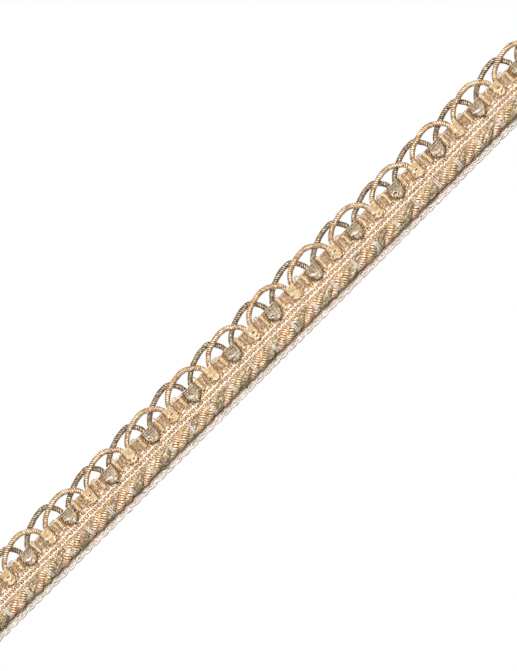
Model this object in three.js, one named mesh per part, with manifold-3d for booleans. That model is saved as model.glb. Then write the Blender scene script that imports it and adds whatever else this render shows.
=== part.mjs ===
// A narrow scalloped cord trim, lying flat with its right side up.
// A woven heading band carries a three-strand rope, tied down at even steps, and two wound gimp
// cords that run in interlaced scallops past its upper edge. Each cord turns back at the heading
// under a row of wound knots, and a looped lip edges the side below the rope.
// Millimetres, +Z up, +X along the strip, +Y towards the scallops, underside on Z = 0.

import * as THREE from 'three';
import { mergeVertices } from 'three/addons/utils/BufferGeometryUtils.js';
import Module from 'manifold-3d';

// Driving dimensions: the whole strip
const REPEAT = 19.2; // from one gold knot to the next
const REPEATS = 14;
const LENGTH = REPEAT * REPEATS;
const HALF_LENGTH = LENGTH / 2;
const CLOTH_THICKNESS = 1.0;

// The woven heading band, with its raised upright ribs
const BAND_BOTTOM_EDGE = -5.9;
const BAND_TOP_EDGE = 4.48;
const RIB_BOTTOM = -0.3;
const RIB_HEIGHT = 0.6;
const RIB_ROOT = 0.4;
const RIBS = [
  { fromGoldKnot: -5.46, width: 1.26 },
  { fromGoldKnot: -3.6, width: 0.96 },
  { fromGoldKnot: 3.6, width: 0.96 },
  { fromGoldKnot: 5.46, width: 1.26 },
];

// The looped lip below the rope
const LIP_TOP_EDGE = -6.2;
const LIP_BOTTOM_EDGE = -11.1;
const LIP_LOOPS_PER_REPEAT = 5;
const LIP_LOOP_DEPTH = 0.3;
const LIP_BEAD_START = -8.9;
const LIP_BEAD_HEIGHT = 1.5;

// The twisted rope and the thread ties over it
const ROPE_RADIUS = 2.7;
const ROPE_AXIS_Y = -6.14;
const ROPE_AXIS_Z = 4.0;
const ROPE_LAY = 12.6;
const ROPE_CREST_X = 1.4; // where the taupe strand passes over the top
const ROPE_STRANDS = 3;
const GROOVE_RATIO = 0.76;
const TIES_PER_REPEAT = 2;
const TIE_SPACING = REPEAT / TIES_PER_REPEAT;
const FIRST_TIE_X = 1.55;
const TIE_PINCH = 0.72;
const TIE_WIDTH = 1.4;
const TIE_THICKNESS = 0.36;
const TIE_RADIUS = 2.42;
const TIE_FOOT_Z = 1.3;
const ROPE_STEP = TIE_SPACING / 8;

// The two gimp cords
const GOLD_CORD_RADIUS = 0.76;
const TAUPE_CORD_RADIUS = 0.7;
const CORD_SIDES = 5;
const OVERRUN = 3; // cords are laid past the cut and trimmed flush

// The knots: a stem between a cord's two legs and a wound cap over them
const CAP_BOTTOM = 3.06;
const CAP_HEIGHT = 0.62;
const CAP_EDGE = 0.2;
const STEM_BOTTOM = 1.3;

const GOLD = { color: 0xc8a26a, roughness: 0.5, metalness: 0.0 };
const TAUPE = { color: 0x9c8468, roughness: 0.6, metalness: 0.0 };
const ROPE = { color: 0xbb9f78, roughness: 0.6, metalness: 0.0 };
const WOVEN = { color: 0xdcc4a2, roughness: 0.8, metalness: 0.0 };
const CREAM = { color: 0xe3d8c8, roughness: 0.85, metalness: 0.0 };
const WHITE = { color: 0xf0ebe0, roughness: 0.6, metalness: 0.0 };

// One scallop of the gold cord, measured from its left knot to its right one
const GOLD_SCALLOP = [
  { x: 0.0, y: -0.6, z: 2.05, lift: 0 },
  { x: 1.4, y: -0.1, z: 2.05, lift: 0 },
  { x: 2.05, y: 1.1, z: 2.05, lift: 0 },
  { x: 2.1, y: 2.5, z: 2.05, lift: 0 },
  { x: 1.7, y: 3.7, z: 2.05, lift: 0 },
  { x: 1.32, y: 4.7, z: 2.05, lift: 0 },
  { x: 1.56, y: 5.8, z: 2.1, lift: 0.3 },
  { x: 2.6, y: 7.25, z: 2.25, lift: 0.7 },
  { x: 4.7, y: 8.57, z: 2.42, lift: 1 },
  { x: 7.4, y: 9.42, z: 2.55, lift: 1 },
  { x: 10.2, y: 9.87, z: 2.25, lift: 1 },
  { x: 12.6, y: 9.72, z: 2.3, lift: 1 },
  { x: 14.5, y: 9.0, z: 2.5, lift: 1 },
  { x: 16.1, y: 7.9, z: 2.55, lift: 0.8 },
  { x: 17.3, y: 6.5, z: 2.3, lift: 0.4 },
  { x: 17.88, y: 4.7, z: 2.05, lift: 0 },
  { x: 17.5, y: 3.7, z: 2.05, lift: 0 },
  { x: 17.1, y: 2.5, z: 2.05, lift: 0 },
  { x: 17.15, y: 1.1, z: 2.05, lift: 0 },
  { x: 17.8, y: -0.1, z: 2.05, lift: 0 },
];

// One scallop of the taupe cord, measured from its own left knot; it dips under the gold one
const TAUPE_SCALLOP = [
  { x: 0.2, y: -0.6, z: 2.0, lift: 0 },
  { x: 1.5, y: 0.0, z: 2.0, lift: 0 },
  { x: 2.05, y: 1.3, z: 2.0, lift: 0 },
  { x: 2.0, y: 2.8, z: 2.0, lift: 0 },
  { x: 1.9, y: 4.3, z: 2.0, lift: 0 },
  { x: 2.6, y: 5.55, z: 1.6, lift: 0.2 },
  { x: 3.9, y: 6.9, z: 1.05, lift: 0.6 },
  { x: 5.9, y: 8.05, z: 0.78, lift: 1 },
  { x: 8.3, y: 9.05, z: 0.78, lift: 1 },
  { x: 10.9, y: 9.85, z: 0.8, lift: 1 },
  { x: 13.1, y: 10.13, z: 0.8, lift: 1 },
  { x: 15.0, y: 10.13, z: 0.78, lift: 1 },
  { x: 16.6, y: 9.4, z: 0.78, lift: 1 },
  { x: 17.9, y: 8.0, z: 1.05, lift: 0.7 },
  { x: 18.5, y: 6.6, z: 1.6, lift: 0.4 },
  { x: 18.75, y: 5.2, z: 2.0, lift: 0 },
  { x: 18.4, y: 4.0, z: 2.0, lift: 0 },
  { x: 17.75, y: 2.8, z: 2.0, lift: 0 },
  { x: 17.6, y: 1.3, z: 2.0, lift: 0 },
  { x: 18.1, y: 0.0, z: 2.0, lift: 0 },
];

// How much taller or lower than the average each scallop was laid, from left to right,
// with one scallop more past each cut end
const GOLD_LIFT = [0, 0, 0, -0.1, -0.2, -0.1, 0.1, 0.2, 0.3, 0.2, 0, -0.3, 0.2, 0.2, -0.2, 0];
const TAUPE_LIFT = [0, -0.2, 0.4, -0.5, -0.1, 0.3, 0.4, 0.3, 0.4, -0.1, -0.5, -0.1, -0.3, 0, 0];

// Plan outlines of the knots, the right half from the bottom up; the left half mirrors it
const GOLD_CAP = [[0, -0.4], [0.95, -0.1], [1.5, 0.9], [1.67, 2.6], [1.5, 4.6]];
const TAUPE_CAP = [[0, -0.95], [1.2, -0.6], [1.9, 0.4], [2.35, 2.2], [2.83, 3.9], [2.6, 4.5]];
const GOLD_STEM = [[0.45, 0.65], [0.95, 1.5], [0.95, 2.6], [0.25, 4.6]];
// The taupe cord's legs are not a mirrored pair, so its stem is a whole outline
const TAUPE_STEM = [[-0.1, 0.75], [0.75, 1.0], [0.98, 2.6], [0.8, 4.2], [0.4, 4.3], [-0.3, 2.6], [-0.45, 1.5]];

const X_AXIS = new THREE.Vector3(1, 0, 0);
const Y_AXIS = new THREE.Vector3(0, 1, 0);
const Z_AXIS = new THREE.Vector3(0, 0, 1);
// A profile drawn in Y and Z, extruded along X, and one drawn in X and Z, extruded towards -Y
const ALONG_X = new THREE.Matrix4().makeBasis(Y_AXIS, Z_AXIS, X_AXIS);
const ACROSS_Y = new THREE.Matrix4().makeBasis(X_AXIS, Z_AXIS, Y_AXIS.clone().negate());

const wasm = await Module();
wasm.setup();
const trim = new THREE.Group();

// A mesh with merged vertices becomes a solid that can be joined and cut
function solidOf(geometry) {
  geometry.deleteAttribute('normal');
  geometry.deleteAttribute('uv');
  const merged = mergeVertices(geometry, 1e-4);
  return new wasm.Manifold(new wasm.Mesh({
    numProp: 3,
    vertProperties: Float32Array.from(merged.attributes.position.array),
    triVerts: Uint32Array.from(merged.index.array),
  }));
}

function geometryOf(solid) {
  const mesh = solid.getMesh();
  const geometry = new THREE.BufferGeometry();
  geometry.setAttribute('position', new THREE.BufferAttribute(mesh.vertProperties, 3));
  geometry.setIndex(new THREE.BufferAttribute(mesh.triVerts, 1));
  geometry.computeVertexNormals();
  return geometry;
}

function addPiece(name, geometry, finish, x = 0) {
  const piece = new THREE.Mesh(geometry, new THREE.MeshStandardMaterial(finish));
  piece.name = name;
  piece.position.x = x;
  trim.add(piece);
}

function shapeOf(points) {
  return new THREE.Shape(points.map(([u, v]) => new THREE.Vector2(u, v)));
}

// A plan outline raised between two heights
function slab(points, bottom, height) {
  const geometry = new THREE.ExtrudeGeometry(shapeOf(points), { depth: height, bevelEnabled: false });
  return geometry.translate(0, 0, bottom);
}

// A Y-Z profile drawn along X, centred on X = 0
function runAlongX(points, length, steps = 1) {
  const options = { depth: length, steps, bevelEnabled: false };
  const geometry = new THREE.ExtrudeGeometry(shapeOf(points), options);
  return geometry.translate(0, 0, -length / 2).applyMatrix4(ALONG_X);
}

function goldKnotX(index) {
  return index * REPEAT - HALF_LENGTH;
}

function taupeKnotX(index) {
  return goldKnotX(index) + REPEAT / 2;
}

// Woven band: a flat tape with four upright ribs in each repeat of its heading
function ribSolid(x, width) {
  const root = width / 2;
  const crown = width * 0.3;
  const profile = [
    [x - root, CLOTH_THICKNESS - RIB_ROOT],
    [x + root, CLOTH_THICKNESS - RIB_ROOT],
    [x + root, CLOTH_THICKNESS + RIB_HEIGHT / 3],
    [x + crown, CLOTH_THICKNESS + RIB_HEIGHT],
    [x - crown, CLOTH_THICKNESS + RIB_HEIGHT],
    [x - root, CLOTH_THICKNESS + RIB_HEIGHT / 3],
  ];
  const options = { depth: BAND_TOP_EDGE - RIB_BOTTOM, bevelEnabled: false };
  const geometry = new THREE.ExtrudeGeometry(shapeOf(profile), options);
  return solidOf(geometry.applyMatrix4(ACROSS_Y).translate(0, BAND_TOP_EDGE, 0));
}

function bandGeometry() {
  const tape = slab([
    [-HALF_LENGTH, BAND_BOTTOM_EDGE],
    [HALF_LENGTH, BAND_BOTTOM_EDGE],
    [HALF_LENGTH, BAND_TOP_EDGE],
    [-HALF_LENGTH, BAND_TOP_EDGE],
  ], 0, CLOTH_THICKNESS);
  const solids = [solidOf(tape)];
  for (let knot = 0; knot <= REPEATS; knot += 1) {
    for (const rib of RIBS) {
      const x = goldKnotX(knot) + rib.fromGoldKnot;
      if (Math.abs(x) < HALF_LENGTH) solids.push(ribSolid(x, rib.width));
    }
  }
  return geometryOf(wasm.Manifold.union(solids));
}

// Lip: a flat seam under the rope and a chain bead past it, with a loop-by-loop wavy edge
function lipGeometry() {
  const outer = LIP_BOTTOM_EDGE - LIP_LOOP_DEPTH;
  const bead = runAlongX([
    [LIP_TOP_EDGE, 0],
    [LIP_TOP_EDGE, CLOTH_THICKNESS],
    [LIP_BEAD_START, CLOTH_THICKNESS],
    [LIP_BEAD_START - 0.5, LIP_BEAD_HEIGHT],
    [LIP_BOTTOM_EDGE + 0.7, LIP_BEAD_HEIGHT],
    [outer - 0.1, LIP_BEAD_HEIGHT / 2],
    [outer - 0.1, 0],
  ].reverse(), LENGTH);
  const loop = REPEAT / LIP_LOOPS_PER_REPEAT;
  const plan = [[HALF_LENGTH, LIP_TOP_EDGE], [-HALF_LENGTH, LIP_TOP_EDGE]];
  for (let index = 0; index < REPEATS * LIP_LOOPS_PER_REPEAT; index += 1) {
    const x = index * loop - HALF_LENGTH;
    plan.push([x, LIP_BOTTOM_EDGE]);
    plan.push([x + loop * 0.3, outer]);
    plan.push([x + loop * 0.7, outer]);
  }
  plan.push([HALF_LENGTH, LIP_BOTTOM_EDGE]);
  const outline = solidOf(slab(plan, -1, LIP_BEAD_HEIGHT + 2));
  return geometryOf(solidOf(bead).intersect(outline));
}

// Rope: a three-lobed section drawn along X, then twisted, and pinched where a tie crosses it
function ropePoint(x, y, z) {
  const atEnd = Math.abs(x) > HALF_LENGTH - ROPE_STEP / 2;
  const along = atEnd ? x : x + FIRST_TIE_X - ROPE_STEP / 2;
  const fromTie = Math.abs(THREE.MathUtils.euclideanModulo(along - FIRST_TIE_X + TIE_SPACING / 2, TIE_SPACING)
    - TIE_SPACING / 2);
  const pinch = fromTie < ROPE_STEP ? TIE_PINCH : 1;
  const turn = -2 * Math.PI * (along - ROPE_CREST_X) / ROPE_LAY;
  return new THREE.Vector3(
    along,
    ROPE_AXIS_Y + pinch * (y * Math.cos(turn) - z * Math.sin(turn)),
    ROPE_AXIS_Z + pinch * (y * Math.sin(turn) + z * Math.cos(turn)),
  );
}

function ropeGeometry() {
  const corners = ROPE_STRANDS * 3;
  const section = [];
  for (let corner = 0; corner < corners; corner += 1) {
    // the first groove lies half a strand before the crest of the taupe strand, which is up
    const angle = Math.PI / 2 + 2 * Math.PI * (corner - 1.5) / corners;
    const radius = corner % 3 === 0 ? ROPE_RADIUS * GROOVE_RATIO : ROPE_RADIUS;
    section.push([radius * Math.cos(angle), radius * Math.sin(angle)]);
  }
  const geometry = runAlongX(section, LENGTH, Math.round(LENGTH / ROPE_STEP));
  const position = geometry.attributes.position;
  for (let index = 0; index < position.count; index += 1) {
    const moved = ropePoint(position.getX(index), position.getY(index), position.getZ(index));
    position.setXYZ(index, moved.x, moved.y, moved.z);
  }
  geometry.computeVertexNormals();
  return geometry;
}

// Tie: a flat pair of threads that arches over the rope and goes down into the cloth
function tieGeometry() {
  const inner = TIE_RADIUS - TIE_THICKNESS / 2;
  const outer = TIE_RADIUS + TIE_THICKNESS / 2;
  const arcSteps = 6;
  const over = [[outer, TIE_FOOT_Z - ROPE_AXIS_Z]];
  const under = [[inner, TIE_FOOT_Z - ROPE_AXIS_Z]];
  for (let step = 0; step <= arcSteps; step += 1) {
    const angle = Math.PI * step / arcSteps;
    over.push([outer * Math.cos(angle), outer * Math.sin(angle)]);
    under.push([inner * Math.cos(angle), inner * Math.sin(angle)]);
  }
  over.push([-outer, TIE_FOOT_Z - ROPE_AXIS_Z]);
  under.push([-inner, TIE_FOOT_Z - ROPE_AXIS_Z]);
  const strap = runAlongX([...over, ...under.reverse()], TIE_WIDTH);
  return strap.translate(0, ROPE_AXIS_Y, ROPE_AXIS_Z);
}

// A route whose steps fall on its own points, so tight turns have the short steps they need
class CordRoute extends THREE.CatmullRomCurve3 {
  getPointAt(u) {
    return this.getPoint(u);
  }

  getTangentAt(u) {
    return this.getTangent(u);
  }
}

function cordRoute(scallop, lifts, startX) {
  const points = [];
  lifts.forEach((lift, index) => {
    for (const row of scallop) {
      points.push(new THREE.Vector3(startX + index * REPEAT + row.x, row.y + lift * row.lift, row.z));
    }
  });
  return points.filter((point) => Math.abs(point.x) < HALF_LENGTH + OVERRUN);
}

function cordGeometry(points, radius) {
  const section = [];
  for (let side = 0; side < CORD_SIDES; side += 1) {
    const angle = 2 * Math.PI * (side + 0.5) / CORD_SIDES;
    section.push([radius * Math.cos(angle), radius * Math.sin(angle)]);
  }
  const extrudePath = new CordRoute(points);
  const geometry = new THREE.ExtrudeGeometry(shapeOf(section), { steps: points.length - 1, extrudePath });
  const margin = 3;
  const strip = slab([
    [-HALF_LENGTH, BAND_BOTTOM_EDGE],
    [HALF_LENGTH, BAND_BOTTOM_EDGE],
    [HALF_LENGTH, -LIP_BOTTOM_EDGE + margin],
    [-HALF_LENGTH, -LIP_BOTTOM_EDGE + margin],
  ], -margin, 3 * margin);
  return geometryOf(solidOf(geometry).intersect(solidOf(strip)));
}

// Knot: a stem down between the two legs, and a rounded cap of wound thread on top
function mirrored(half) {
  const left = half.filter(([x]) => x > 0).map(([x, y]) => [-x, y]).reverse();
  return [...half, ...left];
}

function knotGeometry(capOutline, stemOutline) {
  const cap = new THREE.ExtrudeGeometry(shapeOf(capOutline), {
    depth: CAP_HEIGHT - 2 * CAP_EDGE,
    bevelThickness: CAP_EDGE,
    bevelSize: CAP_EDGE,
    bevelOffset: -CAP_EDGE,
    bevelSegments: 1,
  });
  cap.translate(0, 0, CAP_BOTTOM + CAP_EDGE);
  const stem = slab(stemOutline, STEM_BOTTOM, CAP_BOTTOM + CAP_HEIGHT / 2 - STEM_BOTTOM);
  return geometryOf(solidOf(cap).add(solidOf(stem)));
}

addPiece('heading_band', bandGeometry(), WOVEN);
addPiece('lip_edging', lipGeometry(), CREAM);
addPiece('twisted_rope', ropeGeometry(), ROPE);

const tie = tieGeometry();
const firstTie = -Math.floor((HALF_LENGTH + FIRST_TIE_X - TIE_WIDTH / 2) / TIE_SPACING);
for (let index = 0; index < REPEATS * TIES_PER_REPEAT; index += 1) {
  addPiece(`rope_tie_${index + 1}`, tie.clone(), WHITE, FIRST_TIE_X + (firstTie + index) * TIE_SPACING);
}

const goldRoute = cordRoute(GOLD_SCALLOP, GOLD_LIFT, goldKnotX(-1));
addPiece('gold_gimp_cord', cordGeometry(goldRoute, GOLD_CORD_RADIUS), GOLD);
const taupeRoute = cordRoute(TAUPE_SCALLOP, TAUPE_LIFT, taupeKnotX(-1));
addPiece('taupe_gimp_cord', cordGeometry(taupeRoute, TAUPE_CORD_RADIUS), TAUPE);

const goldKnot = knotGeometry(mirrored(GOLD_CAP), mirrored(GOLD_STEM));
for (let index = 1; index < REPEATS; index += 1) {
  addPiece(`gold_knot_${index}`, goldKnot.clone(), GOLD, goldKnotX(index));
}
const taupeKnot = knotGeometry(mirrored(TAUPE_CAP), TAUPE_STEM);
for (let index = 0; index < REPEATS; index += 1) {
  addPiece(`taupe_knot_${index + 1}`, taupeKnot.clone(), TAUPE, taupeKnotX(index));
}

export default trim;
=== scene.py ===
# A scalloped cord trim, lying flat: two wound gimp cords in interlaced scallops, held by wound
# knots on a woven heading, over a tied three-strand rope and a cream looped lip.
# Metres, in the frame of the CAD solids: +X along the strip, +Y towards the scallops, +Z up.
# The tables and the points given to laid() are in millimetres.

import math
import random

import bpy
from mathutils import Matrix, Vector


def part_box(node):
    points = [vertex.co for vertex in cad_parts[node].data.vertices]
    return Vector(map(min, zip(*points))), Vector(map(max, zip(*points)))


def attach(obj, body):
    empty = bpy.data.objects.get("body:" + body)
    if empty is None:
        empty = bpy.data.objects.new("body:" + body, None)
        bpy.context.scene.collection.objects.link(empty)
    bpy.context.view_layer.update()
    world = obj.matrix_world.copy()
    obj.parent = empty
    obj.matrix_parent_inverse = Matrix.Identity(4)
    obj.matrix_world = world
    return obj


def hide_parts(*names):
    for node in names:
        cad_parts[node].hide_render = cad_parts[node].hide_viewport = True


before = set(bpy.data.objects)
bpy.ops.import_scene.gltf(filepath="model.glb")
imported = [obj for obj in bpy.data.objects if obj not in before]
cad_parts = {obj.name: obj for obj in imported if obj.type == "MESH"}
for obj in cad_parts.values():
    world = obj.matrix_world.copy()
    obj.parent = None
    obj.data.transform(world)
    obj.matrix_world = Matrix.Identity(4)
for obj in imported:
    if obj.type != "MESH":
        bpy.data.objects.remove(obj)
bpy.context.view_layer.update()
MM = 0.001

# The drawn rope is this much nearer the lip and slimmer than its solid
ROPE_SHIFT = 0.32 * MM
ROPE_SLIMMING = 0.12 * MM

# Sizes read from the frame
band_low, band_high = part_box("heading_band")
lip_low, lip_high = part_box("lip_edging")
rope_low, rope_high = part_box("twisted_rope")
CUT = band_high.x
BAND_TOP = band_high.y
BAND_BOTTOM = band_low.y
ROPE_Y = (rope_low.y + rope_high.y) / 2 - ROPE_SHIFT
ROPE_Z = (rope_low.z + rope_high.z) / 2
ROPE_RADIUS = (rope_high.z - rope_low.z) / 2 - ROPE_SLIMMING
# The band's top edge again, in mm for laid()
HEADING_TOP = BAND_TOP / MM

# Driving sizes
REPEATS = 14
REPEAT = 2 * CUT / REPEATS
OVERRUN = 3 * MM
WEFTS_PER_REPEAT = 20
WEFT_PITCH = REPEAT / WEFTS_PER_REPEAT
LOOPS_PER_REPEAT = 5
STRIP_STEPS = REPEATS * 40
TIES_PER_REPEAT = 2
TIE_SPACING = REPEAT / TIES_PER_REPEAT
FIRST_TIE = 1.55 * MM
ROPE_LAY = 12.6 * MM
ROPE_CREST = 1.4 * MM

# Each row is x, y and z in mm from the scallop's left knot, and how far it moves with the lift
GOLD_SCALLOP = [
    (0.0, -0.3, 1.9, 0), (0.8, 0.1, 1.95, 0), (1.1, 1.2, 2.05, 0), (1.0, 2.5, 2.05, 0),
    (1.0, 3.7, 2.05, 0), (1.25, 4.7, 2.05, 0), (1.82, 5.65, 2.1, 0.3), (2.98, 6.9, 2.25, 0.7),
    (4.85, 8.15, 2.42, 1), (7.45, 9.03, 2.55, 1), (10.2, 9.56, 2.25, 1), (12.55, 9.5, 2.3, 1),
    (14.35, 8.78, 2.5, 1), (15.9, 7.65, 2.55, 0.8), (17.25, 6.35, 2.3, 0.4), (17.92, 4.7, 2.05, 0),
    (18.15, 3.7, 2.05, 0), (18.15, 2.5, 2.05, 0), (18.1, 1.2, 2.05, 0), (18.4, 0.1, 1.95, 0),
]
TAUPE_SCALLOP = [
    (0.0, -0.8, 1.6, 0), (0.9, -0.2, 1.7, 0), (1.7, 0.8, 1.9, 0), (2.0, 2.1, 2.0, 0),
    (1.8, 3.3, 2.0, 0), (1.8, 4.3, 2.0, 0), (2.65, 5.4, 1.6, 0.2), (4.1, 6.65, 1.05, 0.6),
    (6.1, 7.78, 0.95, 1), (8.42, 8.76, 0.95, 1), (10.97, 9.5, 0.95, 1), (13.15, 9.75, 0.95, 1),
    (14.85, 9.72, 0.95, 1), (16.1, 8.98, 0.95, 1), (17.07, 7.6, 1.05, 0.7), (17.8, 6.35, 1.6, 0.4),
    (18.15, 5.2, 2.0, 0), (18.1, 4.2, 2.0, 0), (17.5, 3.2, 2.0, 0), (17.2, 2.0, 2.0, 0),
    (17.5, 0.8, 1.9, 0), (18.3, -0.2, 1.7, 0),
]
# How much taller or lower than the average each scallop was laid, in mm, from left to right
GOLD_LIFT = [0, 0, 0, -0.1, -0.2, -0.1, 0.1, 0.2, 0.3, 0.2, 0, -0.3, 0.2, 0.2, -0.2, 0]
TAUPE_LIFT = [0, -0.2, 0.4, -0.5, -0.1, 0.3, 0.4, 0.3, 0.4, -0.1, -0.5, -0.1, -0.3, 0, 0]
# How much lower than in the tables all scallops were laid, in mm
SCALLOP_DROP = 0.15


# Camera: straight above, turned so that the strip climbs to the right as in the photograph
PHOTO_HEIGHT_PX = 671
PX = 0.33276 * MM
STRIP_ANGLE = math.radians(44.95)
LENS = 200
SENSOR = 36
VIEW_CENTRE = (0.55 * MM, 0.04 * MM)
VIEW_LEVEL = 2.5 * MM
FAR_CLIP = 20


def add_camera():
    data = bpy.data.cameras.new("camera")
    data.lens = LENS
    data.sensor_width = SENSOR
    data.clip_end = FAR_CLIP
    camera = bpy.data.objects.new("camera", data)
    bpy.context.scene.collection.objects.link(camera)
    distance = LENS / SENSOR * PHOTO_HEIGHT_PX * PX
    camera.location = (*VIEW_CENTRE, VIEW_LEVEL + distance)
    camera.rotation_euler = (0, 0, -STRIP_ANGLE)
    bpy.context.scene.camera = camera


add_camera()


# Selecting and shaping, as by hand
ROUTE_STEPS = 8
HUMP_POINTS = 8


def only(piece):
    """Selects one piece and nothing else."""
    bpy.ops.object.select_all(action="DESELECT")
    piece.select_set(True)
    bpy.context.view_layer.objects.active = piece


def shape(piece, kind, **settings):
    """Adds a modifier and applies it."""
    modifier = piece.modifiers.new(kind.lower(), kind)
    for name, value in settings.items():
        setattr(modifier, name, value)
    only(piece)
    bpy.ops.object.modifier_apply(modifier=modifier.name)


def pick(piece, test):
    """Selects the vertices whose place passes the test, and nothing else."""
    mesh = piece.data
    for part in (mesh.polygons, mesh.edges):
        for item in part:
            item.select = False
    for vertex in mesh.vertices:
        vertex.select = test(vertex.co)


def edit(piece, *steps):
    """Runs edit-mode steps on one piece."""
    only(piece)
    bpy.ops.object.mode_set(mode="EDIT")
    bpy.ops.mesh.select_mode(type="VERT")
    for step in steps:
        step()
    bpy.ops.object.mode_set(mode="OBJECT")


def close_doubles(piece, distance=0.002 * MM):
    def merge():
        bpy.ops.mesh.select_all(action="SELECT")
        bpy.ops.mesh.remove_doubles(threshold=distance)

    edit(piece, merge)


def cut_flush(piece):
    """Cuts a piece at both ends of the strip and closes the cuts."""
    def cut(end):
        bpy.ops.mesh.select_all(action="SELECT")
        bpy.ops.mesh.bisect(
            plane_co=(end * CUT, 0, 0), plane_no=(end, 0, 0), use_fill=True, clear_outer=True
        )

    edit(piece, lambda: cut(-1), lambda: cut(1))


def face_outwards(piece):
    def turn():
        bpy.ops.mesh.select_all(action="SELECT")
        bpy.ops.mesh.normals_make_consistent(inside=False)

    edit(piece, turn)


def join(name, pieces):
    only(pieces[0])
    for piece in pieces:
        piece.select_set(True)
    if len(pieces) > 1:
        bpy.ops.object.join()
    joined = bpy.context.object
    joined.name = name
    joined.data.name = name
    return joined


def unsettle(piece, spread, amount):
    """Moves a piece's points softly about, so that nothing in it repeats exactly."""
    clouds = bpy.data.textures.new("unsettle", "CLOUDS")
    clouds.cloud_type = "COLOR"
    clouds.noise_scale = spread
    clouds.noise_depth = 1
    shape(piece, "DISPLACE", texture=clouds, direction="RGB_TO_XYZ", strength=amount,
          mid_level=0.5, texture_coords="LOCAL")


def laid(x, *points):
    """A line's points, each given in mm: how far along from the place x, then y and z."""
    return [(x + along * MM, y * MM, z * MM) for along, y, z in points]


def route_length(line):
    return sum((Vector(a) - Vector(b)).length for a, b in zip(line, line[1:]))


def new_curve(name, lines, radii=None):
    """A smooth curve object with one open spline through each line of points."""
    curve = bpy.data.curves.new(name, "CURVE")
    curve.dimensions = "3D"
    for row, line in enumerate(lines):
        spline = curve.splines.new("BEZIER")
        spline.bezier_points.add(len(line) - 1)
        for index, (knot, place) in enumerate(zip(spline.bezier_points, line)):
            knot.co = place
            knot.handle_left_type = knot.handle_right_type = "AUTO"
            if radii:
                knot.radius = radii[row][index]
    piece = bpy.data.objects.new(name, curve)
    bpy.context.scene.collection.objects.link(piece)
    return piece


def yarn(name, lines, radius, steps=4, roundness=1, radii=None):
    """Lays round yarns along lines of points, as one closed mesh."""
    piece = new_curve(name, lines, radii)
    piece.data.bevel_depth = radius
    piece.data.bevel_resolution = roundness
    piece.data.resolution_u = steps
    piece.data.use_fill_caps = True
    only(piece)
    bpy.ops.object.convert(target="MESH")
    piece = bpy.context.object
    close_doubles(piece)
    only(piece)
    bpy.ops.object.shade_smooth()
    return piece


def long_thread(name, y, level, step, radius, stray):
    """A thread along the whole strip that rises a little at every second step."""
    steps = round(2 * CUT / step)
    line = [(-CUT + 2 * CUT * index / steps, y, level + 0.1 * MM * (index % 2))
            for index in range(steps + 1)]
    piece = yarn(name, [line], radius, steps=2)
    unsettle(piece, spread=1.4 * MM, amount=stray)
    cut_flush(piece)
    face_outwards(piece)
    return piece


def cloth_strip(name, bottom, top, level, rows, thickness, spread, amount):
    """A thin strip of cloth from end to end, a little uneven."""
    bpy.ops.object.select_all(action="DESELECT")
    bpy.ops.mesh.primitive_grid_add(
        x_subdivisions=STRIP_STEPS, y_subdivisions=rows, size=1, location=(0, (top + bottom) / 2, level)
    )
    piece = bpy.context.object
    piece.name = name
    piece.scale = (2 * CUT, top - bottom, 1)
    bpy.ops.object.transform_apply()
    shape(piece, "SOLIDIFY", thickness=thickness, offset=-1)
    unsettle(piece, spread, amount)
    cut_flush(piece)
    return piece


def follow(piece, line, radii=None):
    """Bends a straight piece that runs from the origin along +X onto a route."""
    route = new_curve("route", [line], radii and [radii])
    route.data.resolution_u = ROUTE_STEPS
    route.data.use_radius = radii is not None
    shape(piece, "CURVE", object=route, deform_axis="POS_X")
    bpy.data.objects.remove(route)


def mark_crest(piece, core, depth):
    """Notes on each point how high it stands in the thread's outline, from 0 to 1."""
    crest = piece.data.attributes.new("crest", "FLOAT", "POINT")
    for vertex, mark in zip(piece.data.vertices, crest.data):
        mark.value = (math.hypot(vertex.co.y, vertex.co.z) - core) / depth


def wound_thread(name, radius, pitch, depth, length, sides, threads=1):
    """A straight core wound with touching turns of one or more threads, from the origin along +X."""
    core = radius - depth
    humps = []
    for thread in range(threads):
        bpy.ops.object.select_all(action="DESELECT")
        bpy.ops.mesh.primitive_circle_add(
            vertices=HUMP_POINTS, radius=pitch / 2, location=(pitch * (thread + 0.5), 0, core),
            rotation=(math.pi / 2, 0, 0)
        )
        humps.append(bpy.context.object)
    piece = join(name, humps)
    bpy.ops.object.transform_apply()
    pick(piece, lambda place: place.z < core - pitch * 0.01)

    def flatten():
        bpy.ops.mesh.select_all(action="SELECT")
        bpy.ops.transform.resize(value=(1, 1, depth / (pitch / 2)), center_override=(0, 0, core))

    edit(piece, lambda: bpy.ops.mesh.delete(type="VERT"), flatten)
    close_doubles(piece)
    mark_crest(piece, core, depth)
    lead = pitch * threads
    shape(piece, "SCREW", axis="X", angle=2 * math.pi, screw_offset=lead, steps=sides,
          render_steps=sides, iterations=math.ceil(length / lead), use_smooth_shade=True)
    close_doubles(piece)
    return piece


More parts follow.
